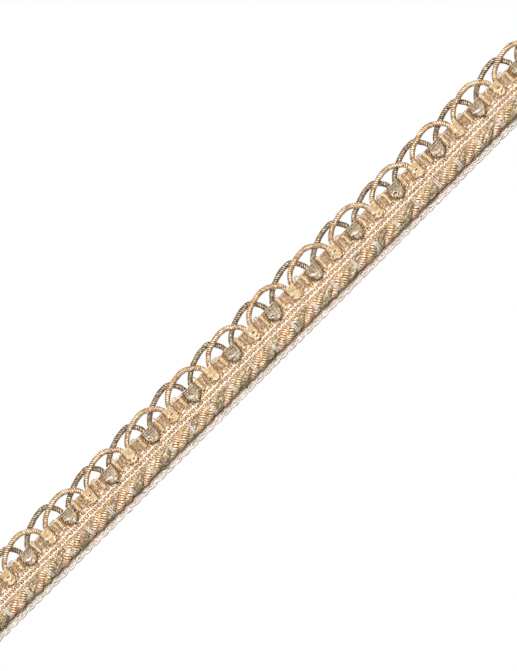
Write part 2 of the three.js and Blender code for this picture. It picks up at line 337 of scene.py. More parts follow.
def fibre_bundle(name, radius, fibres, depth, lay, length, step):
    """A straight loose bundle of long fibres with a slight twist, along +X from the origin."""
    bpy.ops.object.select_all(action="DESELECT")
    bpy.ops.mesh.primitive_circle_add(
        vertices=fibres * 2, radius=radius, location=(0, 0, 0), rotation=(0, math.pi / 2, 0)
    )
    piece = bpy.context.object
    piece.name = name
    bpy.ops.object.transform_apply()
    crest = piece.data.attributes.new("crest", "FLOAT", "POINT")
    fibre_tones = random.Random(fibres)
    # every second point is drawn in as the gap between two fibres, and its low crest gives it painted
    # shade
    for index in range(0, fibres * 2, 2):
        piece.data.vertices[index].co *= 1 - depth / radius
        crest.data[index].value = 0.1
        crest.data[index + 1].value = fibre_tones.uniform(0.45, 1.2)
    steps = round(lay / step)
    shape(piece, "SCREW", axis="X", angle=2 * math.pi, screw_offset=lay, steps=steps,
          render_steps=steps, iterations=math.ceil(length / lay), use_smooth_shade=True)
    return piece


# Material parts
def tint(red, green, blue):
    """A colour given as it looks on screen, from 0 to 255, as the shader's own values."""
    def straighten(value):
        value /= 255
        return value / 12.92 if value <= 0.04045 else ((value + 0.055) / 1.055) ** 2.4

    return (straighten(red), straighten(green), straighten(blue), 1)


def add_node(tree, kind, **inputs):
    node = tree.nodes.new(kind)
    for name, value in inputs.items():
        node.inputs[name].default_value = value
    return node


def work_out(tree, operation, *values):
    """A Math node's result. Each value is a number or another node's output."""
    node = tree.nodes.new("ShaderNodeMath")
    node.operation = operation
    for socket, value in zip(node.inputs, values):
        if isinstance(value, bpy.types.NodeSocket):
            tree.links.new(value, socket)
        else:
            socket.default_value = value
    return node.outputs[0]


def ramp(tree, value, start, end, low=0, high=1):
    """Takes a value that lies between start and end to one between low and high."""
    node = tree.nodes.new("ShaderNodeMapRange")
    for name, number in (("From Min", start), ("From Max", end), ("To Min", low), ("To Max", high)):
        node.inputs[name].default_value = number
    tree.links.new(value, node.inputs["Value"])
    return node.outputs["Result"]


def mix_colours(tree, first, second, factor=None, blend="MIX"):
    """Mixes the second colour over the first, in full where no factor is given."""
    node = tree.nodes.new("ShaderNodeMix")
    node.data_type = "RGBA"
    node.blend_type = blend
    if factor is None:
        node.inputs["Factor"].default_value = 1
    else:
        tree.links.new(factor, node.inputs["Factor"])
    tree.links.new(first, node.inputs["A"])
    tree.links.new(second, node.inputs["B"])
    return node.outputs["Result"]


def new_group(name, inputs, outputs):
    """An empty node group with its sockets, and its input and output nodes."""
    group = bpy.data.node_groups.new(name, "ShaderNodeTree")
    for way, sockets in (("INPUT", inputs), ("OUTPUT", outputs)):
        for socket, kind in sockets.items():
            group.interface.new_socket(socket, in_out=way, socket_type=f"NodeSocket{kind}")
    return group, group.nodes.new("NodeGroupInput"), group.nodes.new("NodeGroupOutput")


def painted_thread_shading_group():
    """Colour and height of thread: painted shade between turns, a painted highlight on their crests, with
    flecks.
    """
    group, into, out = new_group(
        "thread tone",
        {"Shade": "Color", "Body": "Color", "Light": "Color", "Crest": "Float",
         "Fleck size": "Float", "Fleck": "Float"},
        {"Color": "Color", "Height": "Float", "Roughness": "Float"})
    link = group.links.new
    place = group.nodes.new("ShaderNodeTexCoord")

    # the crest, broken up by the flecks
    fleck = add_node(group, "ShaderNodeTexNoise", Detail=3.0, Roughness=0.6)
    link(place.outputs["Object"], fleck.inputs["Vector"])
    link(into.outputs["Fleck size"], fleck.inputs["Scale"])
    centred = work_out(group, "SUBTRACT", fleck.outputs["Fac"], 0.5)
    height = work_out(group, "MULTIPLY_ADD", centred, into.outputs["Fleck"], into.outputs["Crest"])
    link(height, out.inputs["Height"])
    link(ramp(group, height, 0, 1, low=0.72, high=0.5), out.inputs["Roughness"])
    # painted shade: the shade colour fills the low parts between turns and fibres
    low = mix_colours(group, into.outputs["Shade"], into.outputs["Body"],
                      factor=ramp(group, height, 0.35, 0.95))
    # painted highlight: the light colour on the highest crests
    high = mix_colours(group, low, into.outputs["Light"], factor=ramp(group, height, 0.8, 1.3))

    # a slow drift of the dye along the strip
    drift = add_node(group, "ShaderNodeTexNoise", Scale=110.0, Detail=2.0)
    link(place.outputs["Object"], drift.inputs["Vector"])
    dye = ramp(group, drift.outputs["Fac"], 0, 1, low=0.86, high=1.1)
    link(mix_colours(group, high, dye, blend="MULTIPLY"), out.inputs["Color"])
    return group


def plied_group():
    """Crests of a plied yarn from its own UV map: turns along it, and once round it."""
    group, into, out = new_group("plied yarn", {"Turns": "Float"}, {"Crest": "Float"})
    place = group.nodes.new("ShaderNodeUVMap")
    split = group.nodes.new("ShaderNodeSeparateXYZ")
    group.links.new(place.outputs["UV"], split.inputs[0])
    winding = work_out(group, "MULTIPLY_ADD", split.outputs["X"], into.outputs["Turns"],
                       split.outputs["Y"])
    wave = work_out(group, "SINE", work_out(group, "MULTIPLY", winding, math.pi * 2))
    group.links.new(work_out(group, "ABSOLUTE", wave), out.inputs["Crest"])
    return group


THREAD_PAINTED_SHADING = painted_thread_shading_group()
PLIED = plied_group()


def thread_material(name, shade, body, light, turns=None, fleck=0.7, fleck_size=2400,
                    bump=0.5, bump_depth=0.1 * MM, sheen=0.05, specular=0.5, satin=0.45):
    """Thread or yarn, with crests from its UV map where turns is given, else from the mesh.

    Satin is the share of light that a glossy thread throws back in its own colour.
    """
    material = bpy.data.materials.new(name)
    material.use_nodes = True
    tree = material.node_tree
    link = tree.links.new
    surface = tree.nodes["Principled BSDF"]
    surface.inputs["Sheen Weight"].default_value = sheen
    surface.inputs["Sheen Roughness"].default_value = 0.5
    surface.inputs["Specular IOR Level"].default_value = specular
    surface.inputs["Metallic"].default_value = satin
    tone = tree.nodes.new("ShaderNodeGroup")
    tone.node_tree = THREAD_PAINTED_SHADING
    # Shade is painted shade between the crests and Light a painted highlight on them
    for socket, value in (("Shade", shade), ("Body", body), ("Light", light),
                          ("Fleck", fleck), ("Fleck size", fleck_size)):
        tone.inputs[socket].default_value = value
    if turns is None:
        crest = tree.nodes.new("ShaderNodeAttribute")
        crest.attribute_name = "crest"
        link(crest.outputs["Fac"], tone.inputs["Crest"])
    else:
        crest = tree.nodes.new("ShaderNodeGroup")
        crest.node_tree = PLIED
        crest.inputs["Turns"].default_value = turns
        link(crest.outputs["Crest"], tone.inputs["Crest"])
    bumps = add_node(tree, "ShaderNodeBump", Strength=bump, Distance=bump_depth)
    link(tone.outputs["Height"], bumps.inputs["Height"])
    link(tone.outputs["Color"], surface.inputs["Base Color"])
    link(tone.outputs["Roughness"], surface.inputs["Roughness"])
    link(bumps.outputs["Normal"], surface.inputs["Normal"])
    return material


def dress(piece, material, slot, *nodes):
    """Gives a finished piece its material and its place in the frame."""
    piece.data.materials.clear()
    piece.data.materials.append(material)
    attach(piece, "root")
    if nodes:
        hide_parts(*nodes)
    return piece


# Finishes. In each, the first colour is painted shade between turns and the third a painted highlight on
# crests
GOLD_WINDING = thread_material(
    "gold winding", tint(112, 68, 38), tint(212, 174, 132), tint(255, 248, 220),
    fleck=1.7, fleck_size=1100, satin=0.62)
TAUPE_WINDING = thread_material(
    "taupe winding", tint(58, 42, 28), tint(148, 124, 94), tint(236, 216, 182),
    fleck=1.9, fleck_size=1100, satin=0.62)
ORANGE_STRAND = thread_material(
    "orange gold strand", tint(104, 60, 32), tint(232, 190, 150), tint(255, 250, 226),
    fleck=1.6, fleck_size=1300)
KHAKI_STRAND = thread_material(
    "khaki gold strand", tint(86, 60, 32), tint(208, 176, 134), tint(254, 242, 208),
    fleck=1.8, fleck_size=1300)
TAUPE_FIBRE = thread_material(
    "taupe fibre", tint(112, 94, 68), tint(206, 186, 156), tint(246, 232, 210),
    fleck=2.8, fleck_size=1300, specular=0.15, satin=0.2)
GOLD_KNOT = thread_material(
    "gold knot thread", tint(178, 124, 70), tint(255, 236, 188), tint(255, 255, 236), turns=9,
    fleck=1.3, fleck_size=1400, satin=0.2)
TAUPE_KNOT = thread_material(
    "taupe knot thread", tint(84, 62, 38), tint(238, 210, 174), tint(255, 250, 226), turns=9,
    fleck=1.3, fleck_size=1400, satin=0.2)
# painted shade: dark colours for bundles, cords and arcs that show only as shade between threads
GOLD_PAINTED_SHADE = thread_material(
    "gold painted shade", tint(84, 46, 20), tint(132, 84, 44), tint(176, 124, 74), turns=9, satin=0)
TAUPE_PAINTED_SHADE = thread_material(
    "taupe painted shade", tint(40, 28, 16), tint(74, 54, 36), tint(112, 88, 62), turns=9, satin=0)
PALE_LOOP = thread_material(
    "pale loop thread", tint(150, 132, 108), tint(244, 234, 218), tint(255, 255, 252), turns=3,
    fleck=1.4, fleck_size=1500, satin=0.3)
KHAKI_LOOP = thread_material(
    "khaki loop thread", tint(126, 104, 76), tint(208, 188, 156), tint(246, 232, 206), turns=2,
    fleck=1.6, fleck_size=1500, satin=0.25)
TAN_WEFT = thread_material(
    "tan weft", tint(128, 82, 44), tint(250, 214, 164), tint(255, 248, 214), turns=5, satin=0.2)
HEADING_THREAD = thread_material(
    "heading thread", tint(110, 70, 36), tint(184, 138, 90), tint(236, 198, 146), turns=5,
    fleck=1.6, fleck_size=1500, satin=0.2)
GOLD_WARP = thread_material(
    "gold warp", tint(116, 70, 34), tint(244, 202, 148), tint(255, 248, 214), turns=330,
    fleck=1.5, fleck_size=1300, satin=0.25)
WHITE_WARP = thread_material(
    "white warp", tint(206, 180, 154), tint(255, 250, 244), tint(255, 255, 255), turns=330,
    fleck=1.2, fleck_size=1300, satin=0.05)
GOLD_RIB = thread_material(
    "gold rib stitches", tint(214, 160, 100), tint(255, 244, 200), tint(255, 255, 240), turns=3,
    fleck=1.6, fleck_size=1300, satin=0.15)
BROWN_RIB = thread_material(
    "brown rib stitches", tint(128, 78, 42), tint(244, 200, 148), tint(255, 246, 206), turns=3,
    fleck=2, fleck_size=1300, satin=0.2)
PALE_RIB = thread_material(
    "pale rib stitches", tint(140, 100, 64), tint(252, 228, 194), tint(255, 255, 248), turns=3,
    fleck=2.2, fleck_size=1100, satin=0.15)
# painted shade: the ground cloth's dark brown stands for the shade in the gaps of the weave
GROUND_IN_PAINTED_SHADE = thread_material(
    "ground cloth", tint(50, 28, 12), tint(84, 50, 26), tint(112, 72, 40), turns=60, satin=0)
TIE_THREAD = thread_material(
    "white tie thread", tint(154, 145, 134), tint(228, 220, 211), tint(251, 248, 243), turns=14,
    satin=0.1)
CREAM_YARN = thread_material(
    "cream lip yarn", tint(178, 162, 144), tint(248, 240, 230), tint(255, 255, 252), turns=330,
    fleck=2.4, fleck_size=1500, satin=0)
# painted shadow: the grey yarn just past the lip's edge
PAINTED_SHADOW_YARN = thread_material(
    "grey lip yarn in painted shadow", tint(150, 140, 130), tint(200, 190, 180), tint(228, 220, 210), turns=330,
    satin=0)
LIP_CLOTH = thread_material(
    "lip cloth", tint(160, 140, 116), tint(224, 208, 188), tint(246, 236, 222), turns=60,
    fleck=1.8, fleck_size=1500, satin=0)
# partly painted shade: the seam thread's brown also stands for the shadow line under the rope
SEAM_THREAD_AND_PAINTED_SHADE = thread_material(
    "brown seam thread and painted shade", tint(160, 110, 80), tint(228, 174, 138), tint(246, 210, 178), turns=330,
    satin=0)
FUZZ = thread_material(
    "pale fuzz", tint(160, 134, 106), tint(224, 202, 174), tint(250, 240, 224), turns=3)


# Wound gimp cords in scallops
CORD_WINDING_DEPTH = 0.2 * MM
CORD_SIDES = 16
CORD_THREADS = 3
CORD_SPARE = 1.04


def cord_line(scallop, lifts, start):
    """The route's points, from past one cut end to past the other."""
    line = []
    for index, lift in enumerate(lifts):
        for x, y, z, share in scallop:
            height = y + (lift - SCALLOP_DROP) * share
            place = (start + index * REPEAT + x * MM, height * MM, z * MM)
            if abs(place[0]) < CUT + OVERRUN:
                line.append(place)
    return line


def gimp_cord(name, node, scallop, lifts, start, material, slot, radius, pitch):
    line = cord_line(scallop, lifts, start)
    length = route_length(line) * CORD_SPARE
    piece = wound_thread(name, radius, pitch, CORD_WINDING_DEPTH, length, CORD_SIDES, CORD_THREADS)
    follow(piece, line)
    unsettle(piece, spread=2.2 * MM, amount=0.22 * MM)
    cut_flush(piece)
    face_outwards(piece)
    return dress(piece, material, slot, node)


def gold_knot_x(index):
    """The gold knots stand between repeats, so numbers 0 and 14 would lie on the cut ends."""
    return index * REPEAT - CUT


def taupe_knot_x(index):
    return gold_knot_x(index) + REPEAT / 2


gimp_cord("gold_wound_cord", "gold_gimp_cord", GOLD_SCALLOP, GOLD_LIFT, gold_knot_x(-1),
          GOLD_WINDING, "gold", radius=0.96 * MM, pitch=0.74 * MM)
gimp_cord("taupe_wound_cord", "taupe_gimp_cord", TAUPE_SCALLOP, TAUPE_LIFT, taupe_knot_x(-1),
          TAUPE_WINDING, "taupe", radius=0.95 * MM, pitch=0.77 * MM)


# Three-strand rope
STRAND_RADIUS = 1.3 * MM
STRAND_CENTRE = ROPE_RADIUS - STRAND_RADIUS
STRANDS = 3
STRAND_STEP = 0.6 * MM
STRAND_SPARE = 1.02
PINCH = 0.72
PINCH_REACH = 1.0 * MM


def pinch_at(x):
    """How much of its size the rope keeps at x, drawn in under each tie."""
    from_tie = (x - FIRST_TIE + TIE_SPACING / 2) % TIE_SPACING - TIE_SPACING / 2
    return 1 - (1 - PINCH) * math.exp(-((from_tie / PINCH_REACH) ** 2))


def strand_line(order):
    line = []
    radii = []
    steps = round(2 * (CUT + OVERRUN) / STRAND_STEP)
    for step in range(steps + 1):
        x = -CUT - OVERRUN + step * STRAND_STEP
        keep = pinch_at(x)
        turn = math.pi / 2 - 2 * math.pi * (x - ROPE_CREST) / ROPE_LAY + order * 2 * math.pi / STRANDS
        line.append((x, ROPE_Y + STRAND_CENTRE * keep * math.cos(turn),
                     ROPE_Z + STRAND_CENTRE * keep * math.sin(turn)))
        radii.append(keep)
    return line, radii


def rope_strand(name, order, material):
    line, radii = strand_line(order)
    length = route_length(line) * STRAND_SPARE
    if material is TAUPE_FIBRE:
        piece = fibre_bundle(name, STRAND_RADIUS, fibres=16, depth=0.14 * MM, lay=45 * MM,
                             length=length, step=0.26 * MM)
        unsettle(piece, spread=0.9 * MM, amount=0.5 * MM)
    else:
        piece = wound_thread(name, STRAND_RADIUS, pitch=0.7 * MM, depth=0.32 * MM,
                             length=length, sides=18)
    follow(piece, line, radii)
    unsettle(piece, spread=3 * MM, amount=0.3 * MM)
    cut_flush(piece)
    face_outwards(piece)
    return dress(piece, material, "rope", "twisted_rope")


rope_strand("rope_strand_taupe", 0, TAUPE_FIBRE)
rope_strand("rope_strand_orange", 1, ORANGE_STRAND)
rope_strand("rope_strand_khaki", 2, KHAKI_STRAND)


# White ties over the rope, two threads side by side
TIE_RADIUS = 0.22 * MM
TIE_FOOT = 1.05 * MM
TIE_STEPS = 8


def tie_line(x, lean):
    """One thread from under the rope's lip side, over it, and under its other side."""
    reach = ROPE_RADIUS * PINCH + TIE_RADIUS
    line = [(x - lean, ROPE_Y - reach + 0.1 * MM, TIE_FOOT)]
    for step in range(TIE_STEPS + 1):
        angle = math.pi * (1 - step / TIE_STEPS)
        line.append((x + lean * (2 * step / TIE_STEPS - 1), ROPE_Y + reach * math.cos(angle),
                     ROPE_Z + reach * math.sin(angle)))
    line.append((x + lean, ROPE_Y + reach - 0.1 * MM, TIE_FOOT))
    return line


def rope_tie(index, chance):
    x = FIRST_TIE + index * TIE_SPACING - CUT
    lean = chance.uniform(-0.2, 0.2) * MM
    gap = chance.uniform(0.27, 0.38) * MM
    lines = [tie_line(x + side * gap, lean) for side in (-1, 1)]
    piece = yarn(f"tie_threads_{index + 1}", lines, TIE_RADIUS, steps=3, roundness=2)
    return dress(piece, TIE_THREAD, "thread", f"rope_tie_{index + 1}")


chance = random.Random(7)
for tie in range(REPEATS * TIES_PER_REPEAT):
    rope_tie(tie, chance)


# Woven band: a ground cloth, wefts across it and warps along it
# the ground cloth is dark brown as painted shade in the weave's gaps
ground = cloth_strip("woven_ground", BAND_BOTTOM, BAND_TOP, level=0.62 * MM, rows=20,
                     thickness=0.3 * MM, spread=1.5 * MM, amount=0.1 * MM)
dress(ground, GROUND_IN_PAINTED_SHADE, "woven", "heading_band")

# Rows of warp from the rope's side up, as y in mm and its yarn
WARP_ROWS = [
    (-5.5, "gold"), (-4.95, "white"), (-4.4, "gold"), (-3.95, "gold"), (-3.3, "white"),
    (-2.41, "gold"), (-1.61, "white"), (-0.84, "gold"), (-0.1, "gold"),
]
WEFT_TOP = 0.35 * MM
WEFT_RADIUS = 0.25 * MM
WEAVE_LEVEL = 0.56 * MM
WEAVE_RISE = 0.24 * MM


def warp_line(y, parity, swing, level, rise):
    line = []
    for index in range(REPEATS * WEFTS_PER_REPEAT + 1):
        over = 1 if (index + parity) % 2 else -1
        line.append((index * WEFT_PITCH - CUT, y + over * swing, level + over * rise))
    return line


def warps(kind, material, radius, thin, swing, level, rise):
    """One kind of warp. It swells on the wefts that it passes over and is thin between them."""
    lines = []
    swells = []
    for row, (y, yarn_kind) in enumerate(WARP_ROWS):
        if yarn_kind == kind:
            lines.append(warp_line(y * MM, row, swing, level, rise))
            swells.append([1 if (index + row) % 2 else thin
                           for index in range(REPEATS * WEFTS_PER_REPEAT + 1)])
    piece = yarn(f"{kind}_warps", lines, radius, steps=3, radii=swells)
    unsettle(piece, spread=2.5 * MM, amount=0.5 * MM)
    face_outwards(piece)
    return dress(piece, material, "woven")


def weft_line(x, parity):
    line = [(x, BAND_BOTTOM + 0.1 * MM, WEAVE_LEVEL)]
    for row, (y, _) in enumerate(WARP_ROWS):
        over = -1 if (row + parity) % 2 else 1
        line.append((x, y * MM, WEAVE_LEVEL + over * WEAVE_RISE))
    line.append((x, WEFT_TOP, WEAVE_LEVEL - 0.1 * MM))
    return line


def wefts():
    lines = [weft_line(index * WEFT_PITCH - CUT, index % 2)
             for index in range(1, REPEATS * WEFTS_PER_REPEAT)]
    piece = yarn("tan_wefts", lines, WEFT_RADIUS, steps=2)
    unsettle(piece, spread=2.5 * MM, amount=0.3 * MM)
    face_outwards(piece)
    return dress(piece, TAN_WEFT, "woven")


def white_floats():
    """The white yarn that shows below the tan ribs, two short floats in each repeat."""
    lines = []
    for knot in range(REPEATS + 1):
        for side in (-4.5, 3.4):
            x = gold_knot_x(knot) + side * MM
            if abs(x) < CUT - 1 * MM:
                lines.append(laid(x, (-0.7, -0.4, 0.6), (-0.25, -0.3, 1.1), (0.25, -0.16, 1.1),
                                  (0.7, -0.2, 0.6)))
    piece = yarn("white_floats", lines, radius=0.34 * MM, steps=4, roundness=2)
    return dress(piece, WHITE_WARP, "woven")


def heading_threads(chance):
    """Fine brown threads side by side up the heading, behind the ribs and knots."""
    lines = []
    count = REPEATS * WEFTS_PER_REPEAT * 2
    for index in range(count):
        x = -CUT + (index + 0.5) * 2 * CUT / count
        lean = chance.uniform(-0.12, 0.12)
        rise = chance.uniform(0, 0.3)
        lines.append(laid(x, (-lean, 0.1, 0.55), (0, 2.2, 0.75 + rise), (lean, HEADING_TOP - 0.3, 0.6)))
    piece = yarn("heading_threads", lines, radius=0.2 * MM, steps=2)
    return dress(piece, HEADING_THREAD, "woven")


def heading_edge():
    """The brown thread that the heading's threads turn over at its top edge."""
    piece = long_thread("heading_edge", y=BAND_TOP - 0.36 * MM, level=0.95 * MM, step=0.9 * MM,
                        radius=0.26 * MM, stray=0.5 * MM)
    return dress(piece, BROWN_RIB, "woven")


weave = [
    warps("gold", GOLD_WARP, radius=0.32 * MM, thin=0.4, swing=0.12 * MM, level=WEAVE_LEVEL,
          rise=WEAVE_RISE),
    warps("white", WHITE_WARP, radius=0.48 * MM, thin=0.25, swing=0.24 * MM, level=0.9 * MM,
          rise=0.16 * MM),
    wefts(),
    white_floats(),
    heading_threads(random.Random(3)),
    heading_edge(),
]


# Upright ribs of the heading: ladders of small stitches. All these sizes are in mm
RIB_LEVEL = 1.5
RIB_CORE_RADIUS = 0.55
STITCH_PITCH = 0.61
STITCHES = 7
END_MARGIN = 0.8
# Each rib's place from its gold knot and its half width
GOLD_RIBS = [(-5.75, 0.52), (5.45, 0.52)]
BROWN_RIBS = [(-2.85, 0.72), (-4.76, 0.3), (2.65, 0.5), (4.4, 0.32)]
PALE_RIBS = [(-4.05, 0.42), (3.6, 0.42)]


def stitch_line(x, y, half_width, rib_level, chance):
    """One short stitch across a rib, its right end a little higher."""
    left = half_width * chance.uniform(0.85, 1.1)
    right = half_width * chance.uniform(0.85, 1.1)
    rise = chance.uniform(0.0, 0.09)
    level = rib_level + chance.uniform(-0.08, 0.08)
    return laid(x, (-left, y - rise, level - 0.5), (-left * 0.6, y - rise / 2, level),
                (right * 0.6, y + rise / 2, level), (right, y + rise, level - 0.5))


def rib_places(places):
    """Each rib's x, and its half width in mm, all along the strip."""
    return [(gold_knot_x(knot) + offset * MM, half_width)
            for knot in range(REPEATS + 1) for offset, half_width in places
            if abs(gold_knot_x(knot) + offset * MM) < CUT - END_MARGIN * MM]


def rib_cores():
    """The two cords inside each gold or pale rib, in dark painted shade, which show between its stitches.
    """
    lines = []
    sizes = []
    for x, half_width in rib_places(GOLD_RIBS + PALE_RIBS):
        for side in (-0.5, 0.5):
            along = side * half_width
            lines.append(laid(x, (along, 0.15, RIB_LEVEL - 0.55), (along, 2.2, RIB_LEVEL - 0.4),
                              (along, HEADING_TOP - 0.1, RIB_LEVEL - 0.55)))
            sizes.append([half_width] * 3)
    piece = yarn("rib_cores", lines, RIB_CORE_RADIUS * MM, steps=2, radii=sizes)
    return dress(piece, GOLD_PAINTED_SHADE, "woven")


def ribs(name, places, material, thickness, level, chance):
    """One kind of rib, as ladders of stitches from near the heading's foot to its top."""
    lines = []
    for x, half_width in rib_places(places):
        foot = chance.uniform(0.25, 0.45)
        for stitch in range(STITCHES):
            lines.append(stitch_line(x, foot + stitch * STITCH_PITCH, half_width, level, chance))
    piece = yarn(name, lines, thickness * MM, steps=2, radii=[[0.6, 1, 1, 0.6]] * len(lines))
    unsettle(piece, spread=1.4 * MM, amount=0.7 * MM)
    return dress(piece, material, "woven")


chance = random.Random(23)
weave += [
    rib_cores(),
    ribs("gold_ribs", GOLD_RIBS, GOLD_RIB, thickness=0.23, level=RIB_LEVEL + 0.3, chance=chance),
    ribs("brown_ribs", BROWN_RIBS, BROWN_RIB, thickness=0.18, level=RIB_LEVEL, chance=chance),
    ribs("pale_ribs", PALE_RIBS, PALE_RIB, thickness=0.22, level=RIB_LEVEL + 0.1, chance=chance),
]


# Knots. x is a place along the strip in metres, and all other sizes here are in mm
GOLD_WRAP_RADIUS = 0.21
TAUPE_WRAP_RADIUS = 0.19
LOOP_RADIUS = 0.22
SHADE_BUNDLE_RADIUS = 0.5
SHADE_BUNDLE_TOP = 3.0
RING_STEPS = 10
# A gold knot's rounded lower end, as x, y and z
ROUNDED_END = [(-1.1, 0.2, 2.2), (-0.7, -0.25, 2.6), (0.2, -0.45, 2.7), (1.1, -0.2, 2.6), (1.5, 0.2, 2.2)]
# A strand of a taupe knot's fan, as share of its spread at the wraps, y and z
LEFT_FAN = [(1, 2.75, 2.7), (0.95, 2.3, 2.95), (0.9, 1.8, 2.65), (0.78, 0.5, 2.55)]
RIGHT_FAN = [(1, 2.75, 2.7), (0.92, 1.9, 3.05), (0.82, 1.1, 2.95), (0.74, 0.5, 2.6)]
FAN_STRANDS = 8
FAN_SPACING = 0.6


def wrap_line(x, y, half_width, top, chance):
    """One thread over a cord's two legs, its ends tucked down beside them."""
    sway = chance.uniform(-0.05, 0.05)
    left = half_width * chance.uniform(0.94, 1.04)
    right = half_width * chance.uniform(0.94, 1.04)
    return laid(x, (-left, y - sway, top - 0.85), (-left * 0.9, y, top - 0.3),
                (-left * 0.5, y + sway, top), (right * 0.5, y - sway, top),
                (right * 0.9, y, top - 0.3), (right, y + sway, top - 0.85))


def ring_line(x, y, z, width, height, tilt):
    """A small oval loop of thread lying on a knot, turned by the tilt and not quite closed."""
    points = []
    for step in range(RING_STEPS + 1):
        angle = 0.4 + 2 * math.pi * step / (RING_STEPS + 0.4)
        along = width / 2 * math.cos(angle)
        across = height / 2 * math.sin(angle)
        points.append((along * math.cos(tilt) - across * math.sin(tilt),
                       y + along * math.sin(tilt) + across * math.cos(tilt),
                       z + 0.12 * math.sin(angle * 2)))
    return laid(x, *points)


def gold_knot(index, chance):
    """Wraps over the cord's legs, and below them a ring in every third knot or else more wraps."""
    x = gold_knot_x(index) - 0.15 * MM
    lines = [wrap_line(x, 4.28 - 0.6 * row, 1.72, 3.3, chance) for row in range(4)]
    # the next wrap, broken in every second knot so that a short slit of painted shade shows in the middle
    for left, right in ((-1.6, -0.2), (0.5, 1.6)) if index % 2 else ((-1.6, 1.6),):
        lines.append(laid(x, (left, 1.93, 2.7), ((left + right) / 2, 1.93, 3.15), (right, 1.93, 2.7)))
    if index % 3 == 1:
        lines.append(wrap_line(x + 0.2 * MM, 1.45, 1.5, 3.2, chance))
        for width in (2.5, 1.45):
            lines.append(ring_line(x + 0.15 * MM, 0.35, 3.1, width, width * 0.66, tilt=0.3))
    else:
        for row in range(3):
            y = 1.46 - 0.55 * row
            lines.append(wrap_line(x + 0.25 * MM, y, 1.4 - 0.12 * row, 3.2 - 0.2 * row, chance))
        lines.append(laid(x, *ROUNDED_END))
    threads = yarn(f"gold_knot_threads_{index}", lines, GOLD_WRAP_RADIUS * MM, steps=3)
    return dress(threads, GOLD_KNOT, "gold", f"gold_knot_{index}")


def gold_knot_glints(chance):
    """Pale thread that shows at the left of each gold knot."""
    lines = []
    for index in range(1, REPEATS):
        x = gold_knot_x(index)
        slope = chance.uniform(-0.1, 0.3)
        for y in (1.62, 1.96):
            lines.append(laid(x, (-2.2, y, 2.4), (-1.5, y + 0.13, 3.15), (-0.55, y + 0.13 + slope, 3.0)))
        low = chance.uniform(-0.2, 0.3)
        lines.append(laid(x, (-1.9, low, 2.0), (-1.3, low + 0.05, 2.75), (-0.8, low - 0.2, 2.6)))
    return dress(yarn("gold_knot_glints", lines, LOOP_RADIUS * MM, steps=4), PALE_LOOP, "gold")


def gold_knot_arcs(name, material, spread, level, chance):
    """Threads that lie round the lower end of each gold knot, the spread further out. In the dark gold
    material they are painted shade round the knot.
    """
    lines = []
    for index in range(1, REPEATS):
        x = gold_knot_x(index) + chance.uniform(-0.1, 0.2) * MM
        lines.append(laid(x, (-2.0 - spread, 1.6, level - 0.2), (-1.75 - spread, 0.3, level),
                          (-0.9, -0.57 - spread, level), (0.4, -0.72 - spread, level),
                          (1.6 + spread, 0.2, level), (1.95 + spread, 1.6, level - 0.2)))
    return dress(yarn(name, lines, LOOP_RADIUS * MM, steps=4), material, "gold")


def taupe_knot(index, chance):
    """Wraps over the cord's legs and strands that fan down from them, lower at the left."""
    x = taupe_knot_x(index)
    lines = [wrap_line(x, 4.34 - 0.68 * row, 2.55 - 0.12 * row, 3.25, chance)
             for row in range(3 + index % 2)]
    for strand in range(FAN_STRANDS):
        along = (strand - (FAN_STRANDS - 1) / 2) * FAN_SPACING
        fan = LEFT_FAN if along < 0 else RIGHT_FAN
        lines.append(laid(x, *((along * share, y, z) for share, y, z in fan)))
    threads = yarn(f"taupe_knot_threads_{index + 1}", lines, TAUPE_WRAP_RADIUS * MM, steps=3)
    return dress(threads, TAUPE_KNOT, "taupe", f"taupe_knot_{index + 1}")


def taupe_knot_loops(chance):
    """The pale glossy loop at the left of each taupe knot: a ring, a slanted loop or a band."""
    lines = []
    for index in range(REPEATS):
        x = taupe_knot_x(index)
        kind = chance.choice(("ring", "slanted", "band", "slanted"))
        if kind == "ring":
            tilt = chance.uniform(-0.6, -0.2)
            lines.append(ring_line(x - 1.2 * MM, 1.4, 3.3, width=2.1, height=1.1, tilt=tilt))
        elif kind == "slanted":
            for shift in (0, 0.42, 0.84):
                lines.append(laid(x, (shift - 2.3, 1.75 + shift * 0.3, 2.7),
                                  (shift - 1.6, 1.6 + shift * 0.2, 3.4),
                                  (shift - 0.7, 0.9 + shift * 0.3, 3.4),
                                  (shift - 0.1, 0.7 + shift * 0.3, 3.0)))
        else:
            for rise in (0, 0.5):
                lines.append(laid(x, (-2.3, 1.3 + rise, 2.7), (-1.5, 1.35 + rise, 3.4),
                                  (-0.2, 0.95 + rise, 3.4), (0.9, 1.0 + rise, 3.0)))
    piece = yarn("taupe_knot_loops", lines, LOOP_RADIUS * MM, steps=3)
    unsettle(piece, spread=1.2 * MM, amount=0.5 * MM)
    return dress(piece, PALE_LOOP, "thread")


def taupe_knot_lobes(chance):
    """The khaki lobe at the right of each taupe knot and the three crescents under it."""
    lines = []
    for index in range(REPEATS):
        x = taupe_knot_x(index)
        high = chance.uniform(1.3, 1.55)
        for y in (high, high - 0.45):
            lines.append(laid(x, (0.3, y - 0.1, 2.8), (0.9, y + 0.05, 3.25), (1.5, y - 0.12, 3.1),
                              (1.9, y - 0.4, 2.5)))
        if index % 3:
            lines.append(laid(x, (2.2, 1.0, 1.6), (2.6, 1.25, 2.1), (3.0, 1.1, 1.6)))
        for y, half in ((0.42, 1.85), (0.0, 1.65), (-0.4, 1.3)):
            lines.append(laid(x, (-half, y + 0.35, 2.2), (-half * 0.6, y, 2.9), (half * 0.6, y, 2.9),
                              (half, y + 0.35, 2.2)))
    piece = yarn("taupe_knot_lobes", lines, LOOP_RADIUS * MM, steps=3)
    unsettle(piece, spread=1.2 * MM, amount=0.35 * MM)
    return dress(piece, KHAKI_LOOP, "taupe")


